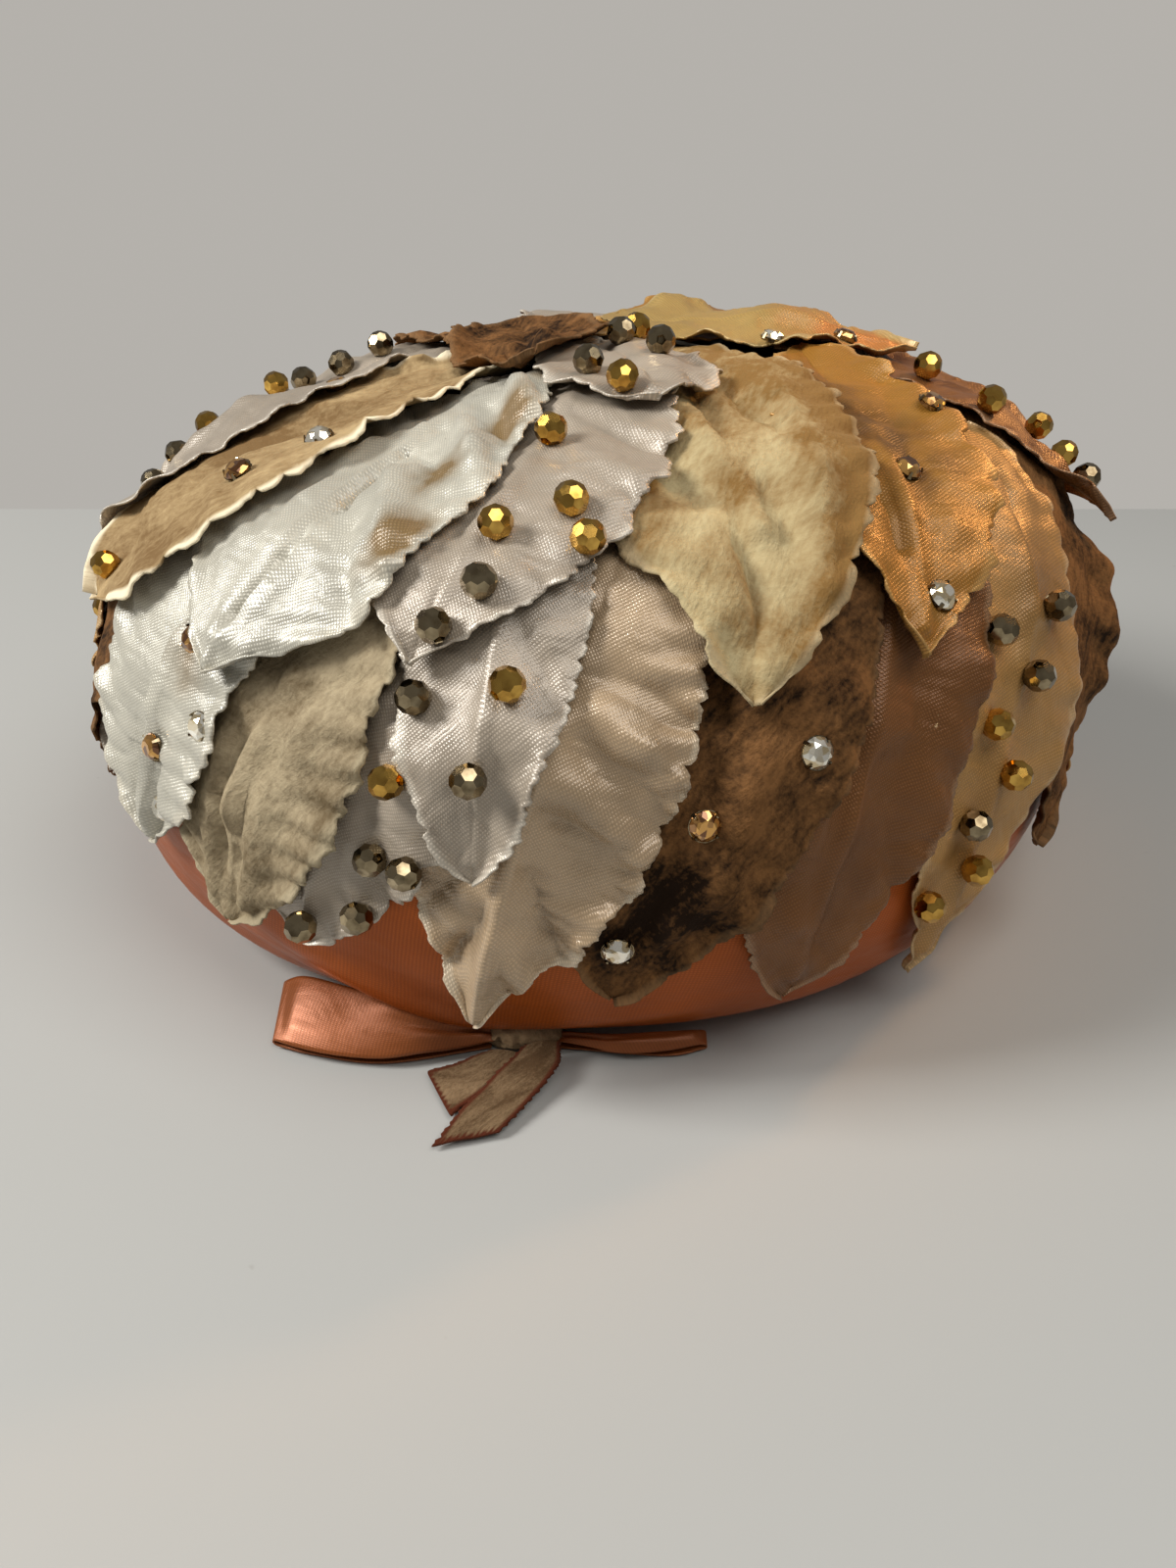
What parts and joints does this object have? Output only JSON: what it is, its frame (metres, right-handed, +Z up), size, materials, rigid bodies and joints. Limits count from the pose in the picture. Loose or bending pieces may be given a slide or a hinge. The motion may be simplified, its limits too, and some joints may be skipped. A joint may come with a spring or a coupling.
{
  "type": "pillbox hat",
  "caption": "Rounded pillbox hat of overlapping satin and velvet leaves with beads and stones, a satin band rolled under at the rim, and a small ribbon bow; hollow for the head.",
  "frame": {"origin": "on the surface that the hat rests on, under the middle of the whole part's box, bow and ribbon tails included", "axes": "+Z up out of the top of the hat, -Y towards the bow, so that +X is at the right of someone facing the bow"},
  "size_m": [0.2341, 0.2451, 0.1176],
  "materials": {
    "crown_cloth": "dark stiffened cloth, matt",
    "satin_copper": "copper satin, soft sheen",
    "satin_grey": "dove grey satin with a fine twill weave",
    "satin_silver": "silver white satin, strong sheen, brown wear marks",
    "satin_champagne": "champagne satin, strong sheen",
    "satin_mauve": "mauve brown satin",
    "satin_gold": "gold peach satin",
    "satin_tan": "tan satin",
    "satin_olive": "pale olive satin",
    "velvet_olive": "olive beige velvet, short pile",
    "velvet_beige": "beige brown velvet with a pale edge",
    "velvet_brown": "dark brown velvet, mottled pile",
    "velvet_cream": "cream velvet shading to brown",
    "ribbon_velvet": "brown velvet ribbon with a copper edge",
    "bead_bronze": "bronze mirror coat on cut facets",
    "bead_gold": "gold mirror coat on cut facets",
    "stone_clear": "foil-backed cut glass",
    "stone_topaz": "foil-backed topaz cut glass"
  },
  "bodies": {
    "root": {"crown": "crown_cloth", "satin_band": "satin_copper", "leaf_low_01": "satin_grey", "leaf_low_02": "velvet_brown", "leaf_low_03": "satin_tan", "leaf_low_04": "velvet_olive", "leaf_low_05": "satin_mauve", "leaf_low_06": "satin_grey", "leaf_low_07": "velvet_brown", "leaf_low_08": "satin_champagne", "leaf_low_09": "velvet_olive", "leaf_low_10": "satin_tan", "leaf_low_11": "satin_mauve", "leaf_low_12": "velvet_brown", "leaf_low_13": "satin_gold", "leaf_low_14": "velvet_brown", "leaf_low_15": "satin_tan", "leaf_low_16": "satin_mauve", "leaf_low_17": "velvet_brown", "leaf_low_18": "satin_champagne", "leaf_low_19": "satin_grey", "leaf_low_20": "satin_grey", "leaf_low_21": "velvet_olive", "leaf_low_22": "satin_silver", "leaf_mid_01": "velvet_beige", "leaf_mid_02": "satin_champagne", "leaf_mid_03": "velvet_brown", "leaf_mid_04": "satin_grey", "leaf_mid_05": "velvet_cream", "leaf_mid_06": "satin_mauve", "leaf_mid_07": "satin_gold", "leaf_mid_08": "velvet_cream", "leaf_mid_09": "satin_grey", "leaf_mid_10": "satin_silver", "leaf_mid_11": "velvet_beige", "leaf_mid_12": "satin_grey", "leaf_top_01": "velvet_brown", "leaf_top_02": "satin_grey", "leaf_top_03": "satin_gold", "leaf_top_04": "satin_olive", "leaf_top_05": "satin_grey", "leaf_top_06": "velvet_brown", "bow_loop_left": "satin_copper", "bow_loop_right": "satin_copper", "bow_knot": "ribbon_velvet", "ribbon_tail_left": "ribbon_velvet", "ribbon_tail_right": "ribbon_velvet"}
  },
  "joints": []
}
